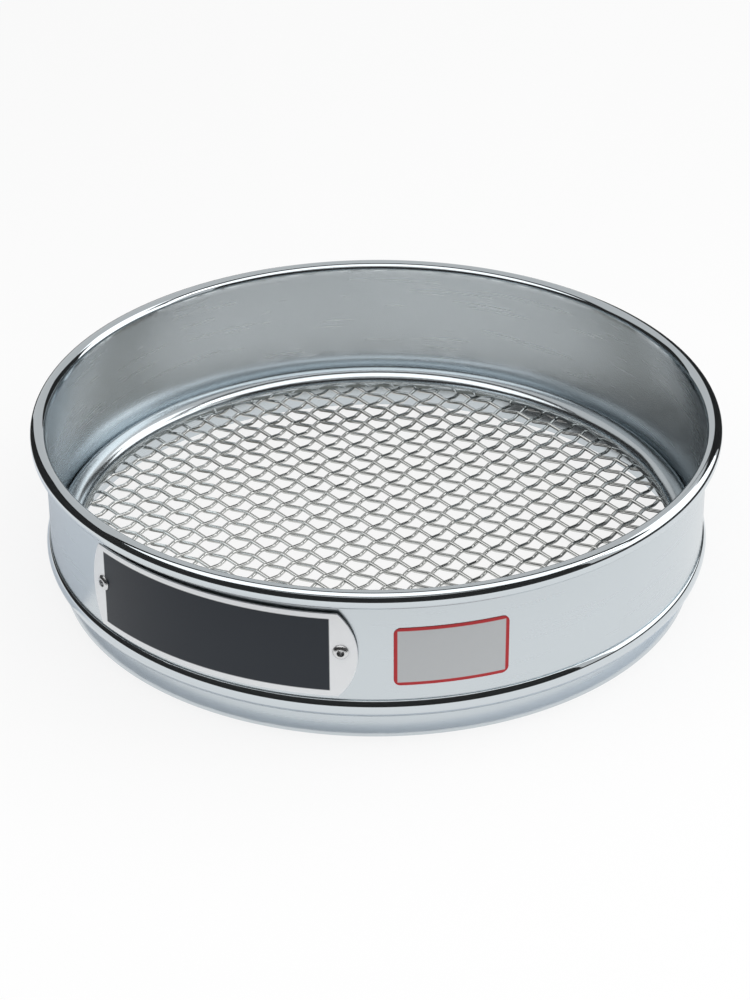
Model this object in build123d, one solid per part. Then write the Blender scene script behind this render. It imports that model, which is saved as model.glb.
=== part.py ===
from build123d import *
from math import acos, asin, atan2, ceil, cos, degrees, radians, sin, sqrt
import os

# A test sieve of 200 mm nominal diameter: a spun stainless steel shell with a rolled rim, a skirt ring
# whose bead is hemmed against the shell, a woven wire cloth held down by a half-round press ring, and
# a riveted name plate with a foil label beside it.
# Millimetres, +Z up, origin at the centre of the base. Azimuths are degrees from the front (-Y)
# towards +X. A formed sheet is drawn as the middle line of its section and traced to its thickness.

# Shell: one spun sheet, from its foot inside the skirt's bead up to the rolled rim.
bore_radius = 100.0
overall_height = 52.0
shell_sheet = 0.6
rim_width = 4.8
rim_height = 5.5
rim_curl_gap = 0.15  # left between the curled edge and the wall
foot_gap = 0.3  # between the shell's foot and the inside of the bead below it

# Skirt ring: one rolled sheet, which nests in the bore of the sieve below.
skirt_clearance = 2.4  # between the skirt and the bore that it nests in
skirt_sheet = 0.6
bead_radius = 4.0  # outer radius of the bead's section
bead_overhang = 1.3  # how far the bead stands out past the wall
bead_height = 12.0  # middle of the bead above the base
joggle_radius = 1.2  # concave bend between the skirt and the bead
hem_edge_round = 0.25
weld_azimuth = -36.5  # butt weld of the ring, dressed to a small flat on the hem's edge
weld_length = 3.2
weld_depth = 0.45

# Wire cloth: two families of crimped wires, each passing over and under the other.
wire_thickness = 1.0
strand_width = 2.4
strand_pitch = 15.0
crossing_press = 0.1  # the wires press into each other by this much where they cross
cloth_lift = 2.12  # mid-plane of the cloth above the middle of the joggle's bend
cloth_seat_gap = 0.05  # between the cloth's edge and the joggle that carries it
cloth_turn = 52.0  # direction of the first family, degrees from +X

# Press ring: a half-round sheet ring that sits in the bore with both its edges on the cloth.
ring_sheet = 0.7
ring_round = 4.4  # outer radius of the half-round section
ring_rise = 1.0  # middle of that section above the cloth
ring_lip_round = 0.2
ring_wall_gap = 0.05

# Name plate: bent to the shell and held off it by its burrs, with an arched ear at each end.
plate_sheet = 0.6
plate_gap = 0.7
plate_below = 0.5  # between the plate and the bead under it
plate_above = 2.8  # between the plate and the rim over it
plate_left_azimuth = -51.4  # of the ends of the field, where the ears start
plate_right_azimuth = -6.2
plate_left_ear = 3.4  # how far each ear stands out
plate_right_ear = 5.6

# Blind rivets through the plate, one at each end.
rivet_left_azimuth = -50.4
rivet_right_azimuth = -5.7
rivet_lift = 1.3  # above the middle of the plate
rivet_head_diameter = 4.6
rivet_head_height = 0.9
rivet_head_edge = 0.25  # upright part of the head's side
rivet_head_shoulder = 0.75  # height of the dome halfway in
rivet_shank_diameter = 3.0
rivet_bore_diameter = 2.2
rivet_bore_depth = 1.3
rivet_tail_diameter = 4.2
rivet_tail_height = 0.9
rivet_tail_chamfer = 0.5
rivet_tail_gap = 0.05

# Label: a foil with rounded corners, on a film of glue.
label_sheet = 0.15
label_glue = 0.03
label_width = 33.0
label_height = 19.0
label_corner = 2.0
label_azimuth = 12.0
label_drop = 2.2  # below the middle of the wall

# Radii and heights that several pieces share.
wall_radius = bore_radius + shell_sheet
skirt_radius = bore_radius - skirt_clearance
bead_reach = wall_radius + bead_overhang
bead_middle = bead_reach - bead_radius
joggle_x = skirt_radius + joggle_radius
joggle_z = bead_height - sqrt((bead_radius + joggle_radius) ** 2 - (joggle_x - bead_middle) ** 2)
joggle_inside = joggle_radius + skirt_sheet
cloth_height = joggle_z + cloth_lift
cloth_top = cloth_height + wire_thickness - crossing_press / 2
cloth_bottom = cloth_height - wire_thickness + crossing_press / 2
cloth_radius = joggle_x - sqrt(joggle_inside**2 - (cloth_bottom - joggle_z) ** 2) - cloth_seat_gap
plate_inner = wall_radius + plate_gap
plate_outer = plate_inner + plate_sheet
wall_bottom = bead_height + bead_radius
wall_top = overall_height - rim_height
plate_bottom = wall_bottom + plate_below
plate_top = wall_top - plate_above
rivet_height = (plate_bottom + plate_top) / 2 + rivet_lift
label_middle = (wall_bottom + wall_top) / 2 - label_drop


def turned(section):
    """A solid of revolution about Z from a section drawn as (radius, height)."""
    return revolve(Plane.XZ * section, Axis.Z)


def block(left, right, bottom, top):
    """A rectangle of a section, between two radii and two heights."""
    return Pos((left + right) / 2, (bottom + top) / 2) * Rectangle(right - left, top - bottom)


def tube(inner, outer, bottom, top):
    """An upright tube about Z."""
    return turned(block(inner, outer, bottom, top))


def facing(azimuth, height, radius=0.0):
    """A plane on the wall: local X runs along the arc to the right, local Y up, local Z outwards."""
    turn = radians(azimuth)
    outwards = Vector(sin(turn), -cos(turn), 0)
    along = Vector(cos(turn), sin(turn), 0)
    return Plane(origin=outwards * radius + Vector(0, 0, height), x_dir=along, z_dir=outwards)


def pressed_outline(outline, azimuth, height, inner, outer):
    """An outline cut radially out of a thin tube, so that it lies bent on the wall."""
    size = outline.bounding_box().size
    cutter = extrude(facing(azimuth, height) * outline, 2 * outer)
    return tube(inner, outer, height - size.Y, height + size.Y) & cutter


def rivet_holes(diameter):
    """Radial cutters for the rivets' shanks."""
    hole = Circle(diameter / 2)
    planes = [facing(azimuth, rivet_height) for azimuth in (rivet_left_azimuth, rivet_right_azimuth)]
    return [extrude(plane * hole, 2 * plate_outer) for plane in planes]


def build_shell():
    """Wall and rolled rim, whose curl ends just clear of the wall."""
    half = shell_sheet / 2
    curl = rim_width / 2
    middle = bore_radius + curl
    upper = overall_height - curl
    lower = overall_height - rim_height + curl
    tuck = degrees(asin((middle - wall_radius - rim_curl_gap) / curl))
    inside = bead_radius - skirt_sheet
    foot = bead_height - sqrt(inside**2 - (wall_radius - bead_middle) ** 2) + foot_gap
    wall = Line((bore_radius + half, foot), (bore_radius + half, upper))
    over = CenterArc((middle, upper), curl - half, 180, -180)
    side = Line((middle + curl - half, upper), (middle + curl - half, lower))
    under = CenterArc((middle, lower), curl - half, 0, -90 - tuck)
    shell = turned(trace(wall + over + side + under, shell_sheet))
    return shell - rivet_holes(rivet_shank_diameter)


def build_skirt_ring():
    """Skirt, joggle and the bead that is hemmed against the shell."""
    half = skirt_sheet / 2
    meet = degrees(atan2(joggle_z - bead_height, joggle_x - bead_middle))
    hem = degrees(acos((wall_radius - bead_middle) / bead_radius))
    skirt = Line((skirt_radius - half, 0), (skirt_radius - half, joggle_z))
    joggle = CenterArc((joggle_x, joggle_z), joggle_radius + half, 180, meet)
    bead = CenterArc((bead_middle, bead_height), bead_radius - half, meet, hem - meet)
    section = trace(skirt + joggle + bead, skirt_sheet)
    section -= block(wall_radius - bead_radius, wall_radius, bead_height, bead_height + bead_radius)
    hem_edge = section.vertices().sort_by(Axis.Y)[-1]
    ring = turned(fillet(hem_edge, hem_edge_round))
    hem_top = bead_height + bead_radius * sin(radians(hem))
    flat = facing(weld_azimuth, hem_top, wall_radius) * Box(weld_length, 2 * weld_depth, 2 * bead_radius)
    return ring - flat


def crimped_strand(across):
    """One wire of the cloth along X: a zigzag that peaks over one crossing and dips under the next."""
    reach = sqrt(cloth_radius**2 - across**2)
    rise = (wire_thickness - crossing_press) / 2
    last = ceil(reach / strand_pitch)
    row = round((across - strand_pitch / 2) / strand_pitch)
    knots = [(index + 1 / 2) * strand_pitch for index in range(-last - 1, last + 1)]
    wave = [(x, rise if (index + row) % 2 else -rise) for index, x in enumerate(knots)]
    top = [(x, z + wire_thickness / 2) for x, z in wave]
    bottom = [(x, z - wire_thickness / 2) for x, z in reversed(wave)]
    side = Plane.XZ.offset(-across) * make_face(Polyline(*top, *bottom, close=True))
    return extrude(side, strand_width / 2, both=True)


def build_wire_cloth():
    """Both families of wires, joined where they cross and cut to a disc."""
    count = ceil(cloth_radius / strand_pitch)
    rows = [(index + 1 / 2) * strand_pitch for index in range(-count, count)]
    rows = [across for across in rows if abs(across) < cloth_radius - strand_width]
    warp = [crimped_strand(across) for across in rows]
    weft = [Rot(0, 0, 90) * strand for strand in warp]
    cloth = Part() + warp + weft
    cloth &= Cylinder(cloth_radius, 4 * wire_thickness)
    return Pos(0, 0, cloth_height) * Rot(0, 0, cloth_turn) * cloth


def build_press_ring():
    """Half-round channel, cut level where both its edges rest on the cloth."""
    half = ring_sheet / 2
    centre = (bore_radius - ring_wall_gap - ring_round, cloth_top + ring_rise)
    section = trace(CenterArc(centre, ring_round - half, -90, 360), ring_sheet)
    left = centre[0] - 2 * ring_round
    right = centre[0] + 2 * ring_round
    section -= block(left, right, cloth_top - 2 * ring_round, cloth_top)
    lip_edge = section.vertices().group_by(Axis.X)[0].sort_by(Axis.Y)[0]
    return turned(fillet(lip_edge, ring_lip_round))


def build_name_plate():
    """Bent plate with an arched ear at each end and a hole for each rivet."""
    middle = (plate_bottom + plate_top) / 2
    tall = plate_top - plate_bottom
    section = Plane.XZ * block(plate_inner, plate_outer, plate_bottom, plate_top)
    field = revolve(section, Axis.Z, plate_right_azimuth - plate_left_azimuth)
    plate = Rot(0, 0, plate_left_azimuth - 90) * field
    ears = ((plate_left_azimuth, -plate_left_ear), (plate_right_azimuth, plate_right_ear))
    for azimuth, reach in ears:
        arch = ThreePointArc((0, tall / 2), (reach, 0), (0, -tall / 2))
        ear = make_face(arch + Line((0, -tall / 2), (0, tall / 2)))
        plate += pressed_outline(ear, azimuth, middle, plate_inner, plate_outer)
    return plate - rivet_holes(rivet_shank_diameter)


def build_rivet(azimuth):
    """A set blind rivet: domed head with the mandrel's bore, shank, and the tail inside the bore."""
    head = rivet_head_diameter / 2
    shank = rivet_shank_diameter / 2
    bore = rivet_bore_diameter / 2
    tail = rivet_tail_diameter / 2
    grip = plate_outer - sqrt(bore_radius**2 - tail**2) + rivet_tail_gap
    shoulder = ((head + bore) / 2, rivet_head_shoulder)
    dome = ThreePointArc((head, rivet_head_edge), shoulder, (bore, rivet_head_height))
    bore_floor = rivet_head_height - rivet_bore_depth
    rest = Polyline(
        (bore, rivet_head_height),
        (bore, bore_floor),
        (0, bore_floor),
        (0, -grip - rivet_tail_height),
        (tail - rivet_tail_chamfer, -grip - rivet_tail_height),
        (tail, -grip - rivet_tail_height + rivet_tail_chamfer),
        (tail, -grip),
        (shank, -grip),
        (shank, 0),
        (head, 0),
        (head, rivet_head_edge),
    )
    body = revolve(Plane.XZ * make_face(dome + rest), Axis.Z)
    return facing(azimuth, rivet_height, plate_outer).location * body


def build_label():
    """Rounded foil on the wall."""
    outline = RectangleRounded(label_width, label_height, label_corner)
    inner = wall_radius + label_glue
    return pressed_outline(outline, label_azimuth, label_middle, inner, inner + label_sheet)


nodes = {
    "shell": build_shell(),
    "skirt_ring": build_skirt_ring(),
    "wire_cloth": build_wire_cloth(),
    "press_ring": build_press_ring(),
    "name_plate": build_name_plate(),
    "rivet_left": build_rivet(rivet_left_azimuth),
    "rivet_right": build_rivet(rivet_right_azimuth),
    "label": build_label(),
}

os.makedirs("parts", exist_ok=True)
for name, shape in nodes.items():
    export_step(shape, f"parts/{name}.step")
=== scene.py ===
import math

import bpy
import numpy as np
from bpy.props import FloatProperty, PointerProperty, StringProperty
from mathutils import Matrix, Vector


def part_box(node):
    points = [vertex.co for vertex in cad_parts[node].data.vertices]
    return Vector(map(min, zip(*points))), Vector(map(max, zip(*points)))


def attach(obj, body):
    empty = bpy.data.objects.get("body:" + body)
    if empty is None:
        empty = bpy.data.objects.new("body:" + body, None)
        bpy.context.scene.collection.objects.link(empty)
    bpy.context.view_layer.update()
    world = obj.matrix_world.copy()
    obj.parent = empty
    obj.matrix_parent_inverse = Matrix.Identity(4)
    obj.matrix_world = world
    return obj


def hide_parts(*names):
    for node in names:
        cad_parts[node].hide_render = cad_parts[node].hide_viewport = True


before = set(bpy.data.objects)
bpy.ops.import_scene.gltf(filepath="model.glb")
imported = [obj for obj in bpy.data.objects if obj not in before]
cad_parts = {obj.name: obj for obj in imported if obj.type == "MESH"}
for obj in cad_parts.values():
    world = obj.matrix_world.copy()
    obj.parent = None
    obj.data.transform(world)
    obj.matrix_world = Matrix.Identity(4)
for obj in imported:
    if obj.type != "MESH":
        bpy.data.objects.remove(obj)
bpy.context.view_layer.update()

bl_info = {
    "name": "Test sieve",
    "version": (1, 0, 0),
    "blender": (4, 5, 0),
    "location": "3D View > Sidebar > Sieve",
    "description": "Dresses a woven wire test sieve: its cloth, steel, plate, rivets, label and stage",
    "category": "Object",
}

MM = 0.001


# ---------------------------------------------------------------- settings


class ClothSettings(bpy.types.PropertyGroup):
    """Sizes and finish of the woven wire cloth."""

    wire: FloatProperty(name="Wire", description="Diameter of a wire", default=1.2 * MM, unit="LENGTH")
    pitch: FloatProperty(name="Pitch", description="Spacing of the wires", default=6.14 * MM, unit="LENGTH")
    middle: FloatProperty(
        name="Middle", description="Mid-plane above the base", default=8.76 * MM, unit="LENGTH"
    )
    reach: FloatProperty(
        name="Reach", description="Radius that the wires are cut to", default=96.4 * MM, unit="LENGTH"
    )
    turn: FloatProperty(
        name="Turn", description="Direction of the warp", default=math.radians(52.0), subtype="ANGLE"
    )
    warp_start: FloatProperty(
        name="Warp start",
        description="Offset of one warp wire from the centre",
        default=1.78 * MM,
        unit="LENGTH",
    )
    weft_start: FloatProperty(
        name="Weft start",
        description="Offset of one weft wire from the centre",
        default=-1.39 * MM,
        unit="LENGTH",
    )
    colour: StringProperty(name="Colour", description="Tint of the wire, as hex", default="#C8C9C7")
    roughness: FloatProperty(
        name="Roughness", description="Roughness of the wire", default=0.06, min=0, max=1
    )


class SteelSettings(bpy.types.PropertyGroup):
    """Colour and finish of the sheet steel, and the sheet that all three turned pieces share."""

    colour: StringProperty(name="Colour", description="Tint of the steel, as hex", default="#CFD6DA")
    satin: FloatProperty(name="Satin", description="Roughness of the walls", default=0.27, min=0, max=1)
    polished: FloatProperty(name="Polished", description="Roughness of the beads", default=0.05, min=0, max=1)
    ring: FloatProperty(name="Ring", description="Roughness of the press ring", default=0.15, min=0, max=1)
    sheet: FloatProperty(name="Sheet", description="Thickness of the sheet", default=0.6 * MM, unit="LENGTH")
    wall: FloatProperty(
        name="Wall", description="Outer radius of the wall", default=100.6 * MM, unit="LENGTH"
    )


class ShellSettings(bpy.types.PropertyGroup):
    """Sizes of the spun shell and its rolled rim."""

    foot: FloatProperty(
        name="Foot", description="Height of the wall's foot", default=10.234 * MM, unit="LENGTH"
    )
    top: FloatProperty(name="Top", description="Overall height", default=52.0 * MM, unit="LENGTH")
    rim_width: FloatProperty(
        name="Rim width", description="Width of the curl", default=4.8 * MM, unit="LENGTH"
    )
    rim_height: FloatProperty(
        name="Rim height", description="Height of the curl", default=5.5 * MM, unit="LENGTH"
    )
    curl_gap: FloatProperty(
        name="Curl gap",
        description="Gap between the curled edge and the wall",
        default=0.15 * MM,
        unit="LENGTH",
    )


class SkirtSettings(bpy.types.PropertyGroup):
    """Sizes of the rolled skirt ring: skirt, joggle, bead and hemmed edge."""

    radius: FloatProperty(
        name="Radius", description="Outer radius of the skirt", default=97.6 * MM, unit="LENGTH"
    )
    joggle: FloatProperty(name="Joggle", description="Radius of the bend", default=1.2 * MM, unit="LENGTH")
    joggle_height: FloatProperty(
        name="Joggle height", description="Middle of the bend", default=6.879 * MM, unit="LENGTH"
    )
    bead: FloatProperty(
        name="Bead", description="Radius of the bead's section", default=4.0 * MM, unit="LENGTH"
    )
    bead_middle: FloatProperty(
        name="Bead middle",
        description="Distance of the bead's middle from the axis",
        default=97.9 * MM,
        unit="LENGTH",
    )
    bead_height: FloatProperty(
        name="Bead height", description="Middle of the bead above the base", default=12.0 * MM, unit="LENGTH"
    )
    hem_round: FloatProperty(
        name="Hem round", description="Rounding of the hem's edge", default=0.25 * MM, unit="LENGTH"
    )
    weld: FloatProperty(
        name="Weld", description="Azimuth of the butt weld", default=math.radians(-36.5), subtype="ANGLE"
    )
    weld_length: FloatProperty(
        name="Weld length", description="Length of the flat", default=3.2 * MM, unit="LENGTH"
    )
    weld_depth: FloatProperty(
        name="Weld depth",
        description="Depth below the bead's curve at the wall",
        default=0.45 * MM,
        unit="LENGTH",
    )


class PressRingSettings(bpy.types.PropertyGroup):
    """Sizes of the half-round press ring."""

    sheet: FloatProperty(name="Sheet", description="Thickness of the sheet", default=0.7 * MM, unit="LENGTH")
    round: FloatProperty(
        name="Round", description="Outer radius of the section", default=4.4 * MM, unit="LENGTH"
    )
    middle: FloatProperty(
        name="Middle",
        description="Distance of the section's middle from the axis",
        default=95.55 * MM,
        unit="LENGTH",
    )
    height: FloatProperty(
        name="Height", description="Middle of the section above the base", default=10.95 * MM, unit="LENGTH"
    )
    foot: FloatProperty(name="Foot", description="Height of both its edges", default=9.95 * MM, unit="LENGTH")


class PlateSettings(bpy.types.PropertyGroup):
    """Print and metal of the name plate."""

    metal: StringProperty(name="Metal", description="Tint of the bare border, as hex", default="#E8EAEC")
    field: StringProperty(name="Field", description="Colour of the printed field, as hex", default="#232931")
    left: FloatProperty(
        name="Left",
        description="Azimuth of the field's left edge",
        default=math.radians(-50.1),
        subtype="ANGLE",
    )
    right: FloatProperty(
        name="Right",
        description="Azimuth of the field's right edge",
        default=math.radians(-7.5),
        subtype="ANGLE",
    )
    bottom: FloatProperty(
        name="Bottom", description="Height of the field's foot", default=18.3 * MM, unit="LENGTH"
    )
    top: FloatProperty(name="Top", description="Height of the field's top", default=42.1 * MM, unit="LENGTH")


class LabelSettings(bpy.types.PropertyGroup):
    """Print of the foil label."""

    field: StringProperty(name="Field", description="Colour of the field, as hex", default="#B9BCBE")
    border: StringProperty(name="Border", description="Colour of the border, as hex", default="#B0242A")
    line: FloatProperty(name="Line", description="Width of the border", default=1.0 * MM, unit="LENGTH")
    middle: FloatProperty(
        name="Middle",
        description="Azimuth of the label's middle",
        default=math.radians(12.0),
        subtype="ANGLE",
    )
    width: FloatProperty(name="Width", description="Width along the wall", default=33.0 * MM, unit="LENGTH")


class StageSettings(bpy.types.PropertyGroup):
    """Floor, felts, the grey cards of painted shade, sky and lens."""

    floor: StringProperty(name="Floor", description="Colour of the floor, as hex", default="#F4F4F4")
    glow: FloatProperty(
        name="Glow", description="Share of plain white in the floor as it is seen", default=0.82, min=0, max=1
    )
    # The three card colours are painted shade. They colour felts that only metal sees, which lie on the floor
    # under the cloth and round the skirt, where the floor is in the sieve's shade. The glowing floor would
    # otherwise hide that shade from reflections.
    shade_card_beside: StringProperty(
        name="Shade card beside",
        description="Colour of the cards on the floor round the skirt, as hex",
        default="#F0F5FC",
    )
    shade_card_left: StringProperty(
        name="Left shade card",
        description="Colour of the card under the cloth's left and back, as hex",
        default="#A2A29C",
    )
    shade_card_right: StringProperty(
        name="Right shade card", description="Colour of the card under the cloth's right, as hex", default="#6A6A6A"
    )
    sky: FloatProperty(name="Sky", description="Strength of the light from all round", default=0.65, min=0)
    lens: FloatProperty(name="Lens", description="Focal length in millimetres", default=101.66, min=1)


SETTINGS = {
    "sieve_cloth": ClothSettings,
    "sieve_steel": SteelSettings,
    "sieve_shell": ShellSettings,
    "sieve_skirt": SkirtSettings,
    "sieve_press_ring": PressRingSettings,
    "sieve_plate": PlateSettings,
    "sieve_label": LabelSettings,
    "sieve_stage": StageSettings,
}


# ---------------------------------------------------------------- nodes and meshes


def linear(hex_colour):
    """An sRGB hex colour as linear red, green, blue and an alpha of 1."""
    parts = [int(hex_colour[i : i + 2], 16) / 255 for i in (1, 3, 5)]
    return tuple(p / 12.92 if p <= 0.04045 else ((p + 0.055) / 1.055) ** 2.4 for p in parts) + (1.0,)


def add(tree, kind, links=None, values=None, **settings):
    """Adds a node, sets its properties and its sockets' values, links its sockets, and returns the node."""
    node = tree.nodes.new(kind)
    for key, value in settings.items():
        setattr(node, key, value)
    for key, value in (values or {}).items():
        node.inputs[key].default_value = value
    for key, source in (links or {}).items():
        tree.links.new(source, node.inputs[key])
    return node


def remap(tree, value, low, high):
    """A value between 0 and 1, taken to a range from low to high."""
    node = add(tree, "ShaderNodeMapRange", {"Value": value}, {"To Min": low, "To Max": high})
    return node.outputs["Result"]


def noise(tree, place, scale, detail=2.0):
    """Smooth noise with patches of about 1 / scale across."""
    node = add(tree, "ShaderNodeTexNoise", {"Vector": place}, {"Scale": scale, "Detail": detail})
    return node.outputs["Fac"]


def stretched(tree, place, scale):
    """A place with each of its axes scaled."""
    return add(tree, "ShaderNodeMapping", {"Vector": place}, {"Scale": scale}).outputs["Vector"]


def product(tree, first, second):
    """Two values multiplied."""
    return add(tree, "ShaderNodeMath", {0: first, 1: second}, operation="MULTIPLY").outputs["Value"]


def new_material(name):
    """An empty node material and its tree."""
    material = bpy.data.materials.new(name)
    material.use_nodes = True
    material.node_tree.nodes.clear()
    return material, material.node_tree


def finish_surface(tree, shader):
    """Links a shader to the material's output."""
    add(tree, "ShaderNodeOutputMaterial", {"Surface": shader})


def dress(obj, material):
    """Gives an object that one material."""
    obj.data.materials.clear()
    obj.data.materials.append(material)


def quad_mesh(name, points, quads, caps):
    """A smooth mesh from an array of points, an array of four-cornered faces and a list of end faces."""
    mesh = bpy.data.meshes.new(name)
    mesh.from_pydata(points.reshape(-1, 3).tolist(), [], quads.tolist() + caps.tolist())
    mesh.polygons.foreach_set("use_smooth", np.ones(len(mesh.polygons), bool))
    mesh.update()
    obj = bpy.data.objects.new(name, mesh)
    bpy.context.scene.collection.objects.link(obj)
    return obj


# ---------------------------------------------------------------- wire cloth


def woven_wires(cloth, start, cross_start, over):
    """Points of one family of wires, as [wire, step along, step round, xyz], with the wires along X.

    A wire's middle line rises and falls as arcsin(k cos(pi s / pitch)), which is a zigzag with rounded knees:
    k is just under 1 and rounds them, and s is measured from cross_start, where one knee lies. Round that
    line goes a circle in the plane across it.
    """
    steps, sides, knee = 256, 8, 0.985
    lift = 0.49  # of the wire's diameter: how far a knee's middle lies from the cloth's middle
    outermost = 0.995  # of the reach: wires farther out would be stubs
    count = int(cloth.reach / cloth.pitch) + 1
    index = np.arange(-count, count + 1)
    across = start + index * cloth.pitch
    keep = np.abs(across) < cloth.reach * outermost
    index, across = index[keep], across[keep]
    half = np.sqrt(cloth.reach**2 - across**2)
    along = np.linspace(-1, 1, steps + 1)[None, :] * half[:, None]
    phase = math.pi * (along - cross_start) / cloth.pitch
    sign = np.where((index + over) % 2 == 0, 1.0, -1.0)[:, None]
    rise = cloth.wire * lift * sign
    height = rise * np.arcsin(knee * np.cos(phase)) / math.asin(knee)
    slope = np.gradient(height, axis=1) / np.gradient(along, axis=1)
    length = np.sqrt(1 + slope**2)
    turn = np.linspace(0, 2 * math.pi, sides, endpoint=False)
    radius = cloth.wire / 2
    up = radius * np.sin(turn)[None, None, :]
    side = radius * np.cos(turn)[None, None, :]
    x = along[:, :, None] - up * (slope / length)[:, :, None]
    y = across[:, None, None] + side + np.zeros_like(x)
    z = height[:, :, None] + up / length[:, :, None]
    return np.stack([x, y, z], axis=-1)


def tube_faces(wires, steps, sides):
    """Quads between neighbouring rings of each wire, and a face across each of its ends."""
    grid = np.arange(wires * steps * sides).reshape(wires, steps, sides)
    following = np.roll(grid, -1, axis=2)
    quads = np.stack([grid[:, :-1], grid[:, 1:], following[:, 1:], following[:, :-1]], axis=-1)
    caps = np.concatenate([grid[:, 0], grid[:, -1, ::-1]])
    return quads.reshape(-1, 4), caps


def drawn_wire_material(cloth):
    """Drawn stainless wire: bright, and duller in patches, which break up the highlights.

    The patches are about 1 mm across, coarser than the marks that a real die leaves.
    """
    material, tree = new_material("drawn_stainless_wire")
    place = add(tree, "ShaderNodeTexCoord").outputs["Object"]
    patches = noise(tree, place, 900.0)
    rough = remap(tree, patches, cloth.roughness * 0.7, cloth.roughness * 1.4)
    steel = add(
        tree,
        "ShaderNodeBsdfPrincipled",
        {"Roughness": rough},
        {"Base Color": linear(cloth.colour), "Metallic": 1.0},
    )
    finish_surface(tree, steel.outputs["BSDF"])
    return material


class SIEVE_OT_wire_cloth(bpy.types.Operator):
    """Weaves the crimped wire cloth in place of the plain one"""

    bl_idname = "sieve.wire_cloth"
    bl_label = "Wire cloth"

    def execute(self, context):
        cloth = context.scene.sieve_cloth
        material = drawn_wire_material(cloth)
        # Known fault: turning the weft mirrors its offset, and the warp's knees don't follow. They stand
        # 2.78 mm beside the weft's wires, and the warp is near its middle height where it meets these, so the
        # two go about half a wire's thickness into each other. The knees belong at minus weft_start.
        warp = woven_wires(cloth, cloth.warp_start, cloth.weft_start, 0)
        weft = woven_wires(cloth, cloth.weft_start, cloth.warp_start, 1)
        weft = np.stack([-weft[..., 1], weft[..., 0], weft[..., 2]], axis=-1)
        c, s = math.cos(cloth.turn), math.sin(cloth.turn)
        spin = np.array([[c, s, 0], [-s, c, 0], [0, 0, 1]])
        for name, wires in (("cloth_warp", warp), ("cloth_weft", weft)):
            points = wires @ spin + np.array([0, 0, cloth.middle])
            obj = quad_mesh(name, points, *tube_faces(*wires.shape[:3]))
            dress(obj, material)
            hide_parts("wire_cloth")
            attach(obj, "root")
        return {"FINISHED"}


# ---------------------------------------------------------------- sheet steel


def arc(middle, radius, start, end, steps=20):
    """Points of an arc in a section, as [step, (radius, height)]: middle + radius (cos a, sin a)."""
    angle = np.linspace(start, end, steps + 1)
    return np.stack([middle[0] + radius * np.cos(angle), middle[1] + radius * np.sin(angle)], axis=-1)


def turned_sheet(name, outline, azimuth, pressed=None):
    """A closed outline turned about Z: its point (r, z) goes to (r sin a, -r cos a, z) at every azimuth a.

    The outline runs anticlockwise with the radius to the right, so that the faces look outwards. A function
    of the azimuths and heights may press a part of the surface down.
    """
    same_point, sharp = 0.001 * MM, math.radians(40)
    outline = outline[np.linalg.norm(outline - np.roll(outline, 1, axis=0), axis=1) > same_point]
    radius, height = outline[:, 0], outline[:, 1]
    turn = azimuth[:, None]
    level = height + 0 * turn
    if pressed:
        level = pressed(turn, level)
    points = np.stack([radius * np.sin(turn), -radius * np.cos(turn), level], axis=-1)
    grid = np.arange(level.size).reshape(level.shape)
    after, beyond = np.roll(grid, -1, axis=0), np.roll(grid, -1, axis=1)
    quads = np.stack([grid, after, np.roll(after, -1, axis=1), beyond], axis=-1)
    obj = quad_mesh(name, points, quads.reshape(-1, 4), np.zeros((0, 4), int))
    obj.data.set_sharp_from_angle(angle=sharp)
    return obj


def shell_outline(shell, steel):
    """Section of the shell: up the wall's outside, round inside and outside of the curl, down the bore."""
    sheet, wall = steel.sheet, steel.wall
    bore = wall - sheet
    curl = shell.rim_width / 2
    upper = (bore + curl, shell.top - curl)
    lower = (bore + curl, shell.top - shell.rim_height + curl)
    tuck = -math.pi / 2 - math.asin((curl - sheet - shell.curl_gap) / curl)
    return np.concatenate(
        [
            [(wall, shell.foot)],
            arc(upper, curl - sheet, math.pi, 0),
            arc(lower, curl - sheet, 0, tuck),
            arc(lower, curl, tuck, 0),
            arc(upper, curl, 0, math.pi, steps=32),
            [(bore, shell.foot)],
        ]
    )


def skirt_outline(skirt, steel):
    """Section of the skirt ring: up its outside to the hem, then down inside the bead and the skirt."""
    sheet, wall, bead = steel.sheet, steel.wall, skirt.bead
    middle = (skirt.bead_middle, skirt.bead_height)
    bend = (skirt.radius + skirt.joggle, skirt.joggle_height)
    meet = math.atan2(bend[1] - middle[1], bend[0] - middle[0])
    out = wall + skirt.hem_round - middle[0]
    rise = math.sqrt((bead - skirt.hem_round) ** 2 - out**2)
    hem = (middle[0] + out, middle[1] + rise)
    inside = math.acos((wall - middle[0]) / (bead - sheet))
    return np.concatenate(
        [
            [(skirt.radius, 0.0)],
            arc(bend, skirt.joggle, math.pi, math.pi + meet, steps=12),
            arc(middle, bead, meet, math.atan2(rise, out), steps=32),
            arc(hem, skirt.hem_round, math.atan2(rise, out), math.pi, steps=8),
            arc(middle, bead - sheet, inside, meet),
            arc(bend, skirt.joggle + sheet, math.pi + meet, math.pi, steps=12),
            [(skirt.radius - sheet, 0.0)],
        ]
    )


def ring_outline(ring):
    """Section of the press ring: a half-round channel, cut level at the foot of both its edges."""
    middle = (ring.middle, ring.height)
    drop = ring.height - ring.foot
    outer = math.asin(drop / ring.round)
    inner = math.asin(drop / (ring.round - ring.sheet))
    return np.concatenate(
        [
            arc(middle, ring.round, -outer, math.pi + outer, steps=48),
            arc(middle, ring.round - ring.sheet, math.pi + inner, -inner, steps=24),
        ]
    )


def turns(steps, *extra):
    """Azimuths all round in equal steps, with some extra ones among them."""
    return np.sort(np.concatenate([np.linspace(-math.pi, math.pi, steps, endpoint=False), *extra]))


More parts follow.
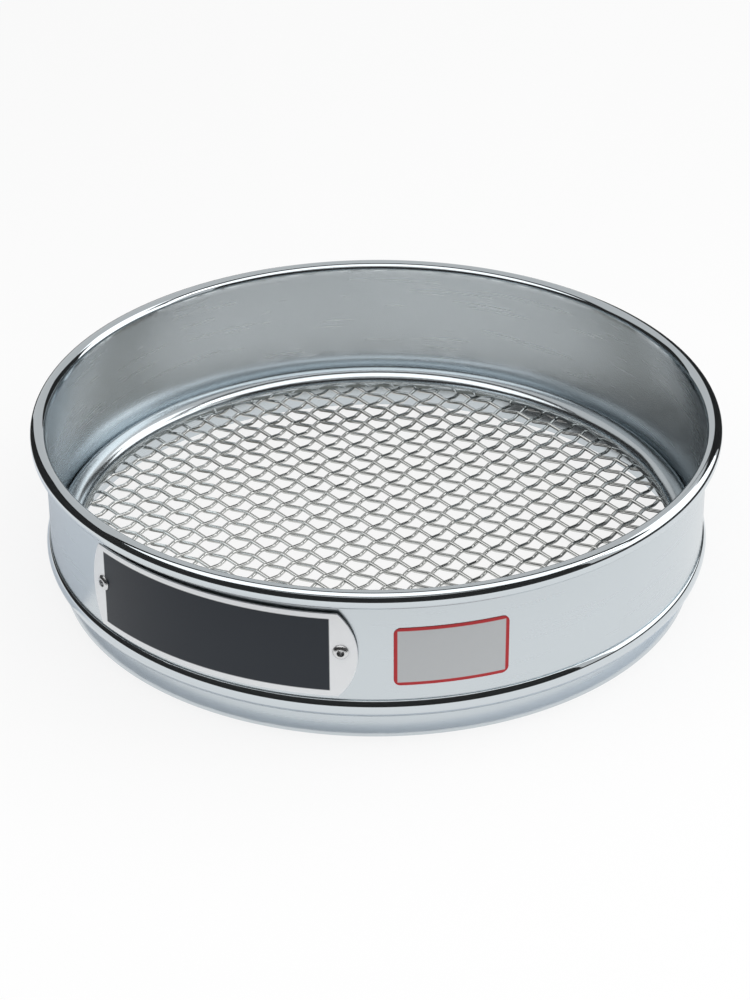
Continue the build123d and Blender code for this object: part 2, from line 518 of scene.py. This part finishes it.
def height_mask(tree, place, low, high):
    """0 below a height and 1 above it, with a smooth change between the two."""
    axes = add(tree, "ShaderNodeSeparateXYZ", {"Vector": place})
    return add(
        tree,
        "ShaderNodeMapRange",
        {"Value": axes.outputs["Z"]},
        {"From Min": low, "From Max": high},
        interpolation_type="SMOOTHSTEP",
    ).outputs["Result"]


def sheet_steel_material(name, steel, low, high, below, above):
    """Stainless sheet with a slight wave from rolling, and fine lines round it that vary its roughness.

    Its roughness changes from one value to another at a height. The lines are drawn 1 mm apart, coarser than
    the real ones, which no view would show.
    """
    material, tree = new_material(name)
    place = add(tree, "ShaderNodeTexCoord").outputs["Object"]
    waves = noise(tree, stretched(tree, place, (45.0, 45.0, 6.0)), 1.0, detail=1.0)
    lines = noise(tree, stretched(tree, place, (30.0, 30.0, 900.0)), 1.0, detail=3.0)
    rough = remap(tree, height_mask(tree, place, low, high), below, above)
    rough = product(tree, rough, remap(tree, lines, 0.95, 1.05))
    bump = add(
        tree, "ShaderNodeBump", {"Height": waves}, {"Strength": 0.25, "Distance": 0.05 * MM}
    ).outputs["Normal"]
    shader = add(
        tree,
        "ShaderNodeBsdfPrincipled",
        {"Roughness": rough, "Normal": bump},
        {"Base Color": linear(steel.colour), "Metallic": 1.0},
    )
    finish_surface(tree, shader.outputs["BSDF"])
    return material


class SIEVE_OT_sheet_steel(bpy.types.Operator):
    """Turns the shell, the skirt ring and the press ring as smooth sheets in place of the faceted ones"""

    bl_idname = "sieve.sheet_steel"
    bl_label = "Sheet steel"

    def execute(self, context):
        scene = context.scene
        steel, shell = scene.sieve_steel, scene.sieve_shell
        skirt, ring = scene.sieve_skirt, scene.sieve_press_ring
        reach = skirt.weld_length / 2 / steel.wall
        crest = skirt.bead_height + math.sqrt(skirt.bead**2 - (steel.wall - skirt.bead_middle) ** 2)

        def dressed_weld(turn, level):
            flat = crest - skirt.weld_depth
            return np.where(np.abs(turn - skirt.weld) < reach, np.minimum(level, flat), level)

        around = turns(360)
        welded = turns(360, skirt.weld + np.linspace(-1.1, 1.1, 12) * reach)
        pieces = (
            ("spun_shell", "shell", "frame_steel", shell_outline(shell, steel), around, None),
            ("rolled_skirt", "skirt_ring", "frame_steel", skirt_outline(skirt, steel), welded, dressed_weld),
            ("half_round_ring", "press_ring", "ring_steel", ring_outline(ring), around, None),
        )
        rim, bend = shell.top - shell.rim_height / 2, skirt.joggle_height
        finishes = {
            "shell": ("spun_stainless_shell", rim - 1.5 * MM, rim + 0.5 * MM, steel.satin, steel.polished),
            "skirt_ring": ("rolled_stainless_skirt", bend, bend + 1.5 * MM, steel.satin, steel.polished),
            "press_ring": ("pressed_stainless_ring", 0.0, ring.height, steel.ring, steel.ring),
        }
        for name, node, slot, outline, azimuth, pressed in pieces:
            obj = turned_sheet(name, outline, azimuth, pressed)
            finish, low, high, below, above = finishes[node]
            dress(obj, sheet_steel_material(finish, steel, low, high, below, above))
            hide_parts(node)
            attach(obj, "root")
        return {"FINISHED"}


# ---------------------------------------------------------------- plate, rivets and label


def bounded(tree, value, low, high, soft):
    """1 while a value lies between two limits, 0 outside them, with an edge of that softness."""
    rise = add(
        tree, "ShaderNodeMapRange", {"Value": value}, {"From Min": low - soft, "From Max": low + soft}
    ).outputs["Result"]
    fall = add(
        tree,
        "ShaderNodeMapRange",
        {"Value": value},
        {"From Min": high - soft, "From Max": high + soft, "To Min": 1.0, "To Max": 0.0},
    ).outputs["Result"]
    return product(tree, rise, fall)


def wall_places(tree):
    """The azimuth and the height of the point being shaded, and its place."""
    place = add(tree, "ShaderNodeTexCoord").outputs["Object"]
    axes = add(tree, "ShaderNodeSeparateXYZ", {"Vector": place})
    east, north = axes.outputs["X"], axes.outputs["Y"]
    front = add(tree, "ShaderNodeMath", {0: north}, {1: -1.0}, operation="MULTIPLY").outputs["Value"]
    azimuth = add(tree, "ShaderNodeMath", {0: east, 1: front}, operation="ARCTAN2").outputs["Value"]
    return azimuth, axes.outputs["Z"], place


def plate_material(plate):
    """Aluminium plate with a dark printed field, whose film stands a little off the bare metal border.

    Its grain is drawn about 0.7 mm wide, coarser than the real one.
    """
    turn_soft, rise_soft = 0.0015, 0.15 * MM  # softness of the print's edges, as an azimuth and a height
    film_turn_soft, film_rise_soft = 0.004, 0.4 * MM  # the same of the film's raised edges
    material, tree = new_material("printed_aluminium_plate")
    azimuth, height, place = wall_places(tree)
    wide = bounded(tree, azimuth, plate.left, plate.right, turn_soft)
    tall = bounded(tree, height, plate.bottom, plate.top, rise_soft)
    print_mask = product(tree, wide, tall)
    colour = add(
        tree,
        "ShaderNodeMix",
        {"Factor": print_mask},
        {"A": linear(plate.metal), "B": linear(plate.field)},
        data_type="RGBA",
    ).outputs["Result"]
    metallic = remap(tree, print_mask, 0.45, 0.0)
    film_wide = bounded(tree, azimuth, plate.left, plate.right, film_turn_soft)
    film_tall = bounded(tree, height, plate.bottom, plate.top, film_rise_soft)
    film = product(tree, film_wide, film_tall)
    bump = add(
        tree, "ShaderNodeBump", {"Height": film}, {"Strength": 0.4, "Distance": 0.04 * MM}
    ).outputs["Normal"]
    rough = remap(tree, noise(tree, place, 1500.0), 0.28, 0.42)
    shader = add(
        tree,
        "ShaderNodeBsdfPrincipled",
        {"Base Color": colour, "Metallic": metallic, "Roughness": rough, "Normal": bump},
        {"Specular IOR Level": 0.3},
    )
    finish_surface(tree, shader.outputs["BSDF"])
    return material


class SIEVE_OT_name_plate(bpy.types.Operator):
    """Prints the name plate's bare field"""

    bl_idname = "sieve.name_plate"
    bl_label = "Name plate"

    def execute(self, context):
        dress(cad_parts["name_plate"], plate_material(context.scene.sieve_plate))
        return {"FINISHED"}


def rivet_material():
    """Bright aluminium rivet, duller in patches about 0.8 mm across, which are coarser than real grain."""
    material, tree = new_material("set_aluminium_rivet")
    place = add(tree, "ShaderNodeTexCoord").outputs["Object"]
    rough = remap(tree, noise(tree, place, 1200.0), 0.15, 0.4)
    shader = add(
        tree,
        "ShaderNodeBsdfPrincipled",
        {"Roughness": rough},
        {"Base Color": linear("#D9DADB"), "Metallic": 1.0},
    )
    finish_surface(tree, shader.outputs["BSDF"])
    return material


class SIEVE_OT_rivets(bpy.types.Operator):
    """Finishes the two blind rivets"""

    bl_idname = "sieve.rivets"
    bl_label = "Rivets"

    def execute(self, context):
        material = rivet_material()
        for name in ("rivet_left", "rivet_right"):
            dress(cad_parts[name], material)
        return {"FINISHED"}


def label_material(label, wall):
    """Printed foil: a grey field inside a coloured border, with a grain coarser than the real one."""
    turn_soft, rise_soft = 0.001, 0.1 * MM  # softness of the field's edges, as an azimuth and a height
    material, tree = new_material("printed_foil_label")
    low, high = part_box("label")
    azimuth, height, place = wall_places(tree)
    half = (label.width / 2 - label.line) / wall
    wide = bounded(tree, azimuth, label.middle - half, label.middle + half, turn_soft)
    tall = bounded(tree, height, low.z + label.line, high.z - label.line, rise_soft)
    inside = product(tree, wide, tall)
    colour = add(
        tree,
        "ShaderNodeMix",
        {"Factor": inside},
        {"A": linear(label.border), "B": linear(label.field)},
        data_type="RGBA",
    ).outputs["Result"]
    rough = remap(tree, noise(tree, place, 700.0), 0.3, 0.5)
    shader = add(
        tree, "ShaderNodeBsdfPrincipled", {"Base Color": colour, "Roughness": rough}, {"Metallic": 0.25}
    )
    finish_surface(tree, shader.outputs["BSDF"])
    return material


class SIEVE_OT_label(bpy.types.Operator):
    """Prints the foil label"""

    bl_idname = "sieve.label"
    bl_label = "Label"

    def execute(self, context):
        label, steel = context.scene.sieve_label, context.scene.sieve_steel
        dress(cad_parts["label"], label_material(label, steel.wall))
        return {"FINISHED"}


# ---------------------------------------------------------------- stage


def seen_rays(tree):
    """1 for the camera's rays and for those that metal and glass send out, and 0 for the rest."""
    path = add(tree, "ShaderNodeLightPath").outputs
    seen = path["Is Camera Ray"]
    for other in ("Is Glossy Ray", "Is Transmission Ray"):
        seen = add(tree, "ShaderNodeMath", {0: seen, 1: path[other]}, operation="MAXIMUM").outputs["Value"]
    return seen


def floor_material(stage):
    """Matt white paper, which camera and metal see as nearly white all over.

    It has a faint tooth about 1 mm across, coarser than the real one.
    """
    material, tree = new_material("matt_paper_floor")
    place = add(tree, "ShaderNodeTexCoord").outputs["Object"]
    tooth = noise(tree, place, 800.0)
    bump = add(
        tree, "ShaderNodeBump", {"Height": tooth}, {"Strength": 0.1, "Distance": 0.05 * MM}
    ).outputs["Normal"]
    paper = add(
        tree,
        "ShaderNodeBsdfPrincipled",
        {"Normal": bump},
        {"Base Color": linear(stage.floor), "Roughness": 0.9},
    )
    glow = add(tree, "ShaderNodeEmission", {}, {"Color": linear("#FFFFFF"), "Strength": 1.0})
    share = remap(tree, seen_rays(tree), 0.0, stage.glow)
    mixed = add(
        tree, "ShaderNodeMixShader", {0: share, 1: paper.outputs["BSDF"], 2: glow.outputs["Emission"]}
    )
    finish_surface(tree, mixed.outputs["Shader"])
    return material


def area_lamp(name, place, target, size, radiance):
    """A rectangular soft lamp: its power is its radiance times pi times its area."""
    data = bpy.data.lights.new(name, "AREA")
    data.shape = "RECTANGLE"
    data.size, data.size_y = size
    data.energy = radiance * math.pi * size[0] * size[1]
    lamp = bpy.data.objects.new(name, data)
    bpy.context.scene.collection.objects.link(lamp)
    lamp.location = place
    aim = Vector(place) - Vector(target)
    lamp.rotation_mode = "QUATERNION"
    lamp.rotation_quaternion = aim.to_track_quat("Z", "Y")
    lamp.visible_camera = False
    return lamp


def strip_grid(name, points):
    """A surface through a grid of points."""
    grid = np.arange(points.shape[0] * points.shape[1]).reshape(points.shape[:2])
    quads = np.stack([grid[:-1, :-1], grid[1:, :-1], grid[1:, 1:], grid[:-1, 1:]], axis=-1)
    return quad_mesh(name, points, quads.reshape(-1, 4), np.zeros((0, 4), int))


def curtain(name, start, end, profile, steps=60):
    """A strip round the object: its point (r, z) goes to (r sin a, -r cos a, z), for a from start to end."""
    azimuth = np.linspace(math.radians(start), math.radians(end), steps + 1)[:, None]
    radius, height = np.array(profile).T
    points = np.stack([radius * np.sin(azimuth), -radius * np.cos(azimuth), height + 0 * azimuth], axis=-1)
    return strip_grid(name, points)


def lamp_trim(name, place, size, width):
    """The dark edge of a level lamp: a frame of that width round its rectangle."""
    x, y = size[0] / 2, size[1] / 2
    ring = np.array([(-x, -y), (x, -y), (x, y), (-x, y), (-x, -y)])
    outer = ring + np.sign(ring) * width
    points = np.stack([ring, outer], axis=1) + np.array(place[:2])
    points = np.concatenate([points, np.full(points.shape[:2] + (1,), place[2])], axis=-1)
    return strip_grid(name, points)


def felt_material(name, colour):
    """Plain matt felt of that colour, which gives polished metal something to reflect. The grey felts are
    painted shade: they stand in for the floor's shade under and round the sieve.
    """
    material, tree = new_material(name)
    shader = add(tree, "ShaderNodeBsdfPrincipled", {}, {"Base Color": linear(colour), "Roughness": 1.0})
    finish_surface(tree, shader.outputs["BSDF"])
    return material


def grey_sky(scene, strength):
    """A plain white world of that strength, which lights the scene evenly from all round."""
    world = bpy.data.worlds.new("plain_sky")
    world.use_nodes = True
    scene.world = world
    tree = world.node_tree
    tree.nodes.clear()
    shader = add(
        tree, "ShaderNodeBackground", {}, {"Color": linear("#FFFFFF"), "Strength": strength}
    )
    add(tree, "ShaderNodeOutputWorld", {"Surface": shader.outputs["Background"]})


EYE = (-0.46 * MM, -750.3 * MM, 468.1 * MM)
LOOK_DOWN, ROLL = 30.86, -0.264  # degrees
FLOOR_REACH = 3.0


class SIEVE_OT_stage(bpy.types.Operator):
    """Sets the floor, the lamps, the felts that only reflections show, with grey felts of painted shade under
    and round the sieve, the sky and the camera
    """

    bl_idname = "sieve.stage"
    bl_label = "Stage"

    def execute(self, context):
        scene = context.scene
        stage = scene.sieve_stage
        corners = np.array([(-1, -1, 0), (1, -1, 0), (1, 1, 0), (-1, 1, 0)]) * FLOOR_REACH
        floor = quad_mesh("floor", corners, np.array([[0, 1, 2, 3]]), np.zeros((0, 4), int))
        dress(floor, floor_material(stage))
        grey_sky(scene, stage.sky)
        softbox, softbox_size = (0.0, -0.2, 0.48), (1.3, 0.38)
        # A felt runs between two azimuths in degrees. Its profile is a list of distances from the axis and
        # heights. It starts a sheet of paper's thickness above the floor, and some rise from there as a wall.
        paper, edge, near_edge, wall = 0.5 * MM, 0.2, 0.125, 0.6
        low, front, back = 0.03, 0.44, 0.42
        black = felt_material("black_felt", "#262626")
        # The three grey felts are painted shade, as metal sees it: the floor's shade under the cloth and
        # beside the skirt.
        pale_grey_shade = felt_material("pale_grey_shade_felt", stage.shade_card_beside)
        light_grey_shade = felt_material("light_grey_shade_felt", stage.shade_card_left)
        dark_grey_shade = felt_material("dark_grey_shade_felt", stage.shade_card_right)
        flags = (
            (curtain("curtain_front", -140, 62, [(edge, paper), (wall, paper), (wall, front)]), black),
            (curtain("curtain_right_low", 62, 128, [(edge, paper), (wall, paper), (wall, low)]), black),
            (curtain("curtain_right_back", 128, 165, [(edge, paper), (wall, paper), (wall, back)]), black),
            (curtain("curtain_left_low", -172, -140, [(near_edge, paper), (wall, paper), (wall, low)]), black),
            # Painted shade: these four cards lie under the cloth and beside the skirt, where the floor is in
            # the sieve's shade, and only metal sees them.
            (curtain("shade_card_left", -205, 20, [(70 * MM, paper), (86 * MM, paper)]), light_grey_shade),
            (curtain("shade_card_right", 20, 155, [(70 * MM, paper), (93 * MM, paper)]), dark_grey_shade),
            (curtain("shade_card_at_skirt", -180, 180, [(98.5 * MM, paper), (102.5 * MM, paper)]), pale_grey_shade),
            (curtain("shade_card_at_left", -135, -70, [(104 * MM, paper), (155 * MM, paper)]), pale_grey_shade),
            (lamp_trim("softbox_trim", softbox, softbox_size, width=0.11), black),
        )
        for flag, felt in flags:
            dress(flag, felt)
            for ray in ("camera", "diffuse", "shadow", "transmission", "volume_scatter"):
                setattr(flag, "visible_" + ray, False)
        side_panel, side_panel_aim, side_panel_size = (0.9, 0.25, 0.5), (0.0, 0.1, 0.03), (1.1, 0.95)
        area_lamp("softbox", softbox, (softbox[0], softbox[1], 0.0), softbox_size, radiance=1.0)
        area_lamp("side_panel", side_panel, side_panel_aim, side_panel_size, radiance=1.3)
        data = bpy.data.cameras.new("camera")
        data.lens = stage.lens
        data.sensor_width = 36.0
        data.clip_start = 0.01
        camera = bpy.data.objects.new("camera", data)
        scene.collection.objects.link(camera)
        tilt = Matrix.Rotation(math.radians(90 - LOOK_DOWN), 4, "X")
        roll = Matrix.Rotation(math.radians(ROLL), 4, "Z")
        camera.matrix_world = Matrix.Translation(EYE) @ (tilt @ roll)
        scene.camera = camera
        scene.view_settings.view_transform = "Standard"
        return {"FINISHED"}


# ---------------------------------------------------------------- add-on


OPERATORS = (
    SIEVE_OT_wire_cloth,
    SIEVE_OT_sheet_steel,
    SIEVE_OT_name_plate,
    SIEVE_OT_rivets,
    SIEVE_OT_label,
    SIEVE_OT_stage,
)


class SIEVE_PT_panel(bpy.types.Panel):
    """Lists the sieve's pieces and the stage"""

    bl_label = "Test sieve"
    bl_idname = "SIEVE_PT_panel"
    bl_space_type = "VIEW_3D"
    bl_region_type = "UI"
    bl_category = "Sieve"

    def draw(self, context):
        for operator in OPERATORS:
            self.layout.operator(operator.bl_idname)


def register():
    for name, group in SETTINGS.items():
        bpy.utils.register_class(group)
        setattr(bpy.types.Scene, name, PointerProperty(type=group))
    for cls in (*OPERATORS, SIEVE_PT_panel):
        bpy.utils.register_class(cls)


def unregister():
    for cls in (SIEVE_PT_panel, *reversed(OPERATORS)):
        bpy.utils.unregister_class(cls)
    for name, group in SETTINGS.items():
        delattr(bpy.types.Scene, name)
        bpy.utils.unregister_class(group)


def main():
    register()
    bpy.ops.sieve.wire_cloth()
    bpy.ops.sieve.sheet_steel()
    bpy.ops.sieve.name_plate()
    bpy.ops.sieve.rivets()
    bpy.ops.sieve.label()
    bpy.ops.sieve.stage()


if __name__ == "__main__":
    main()
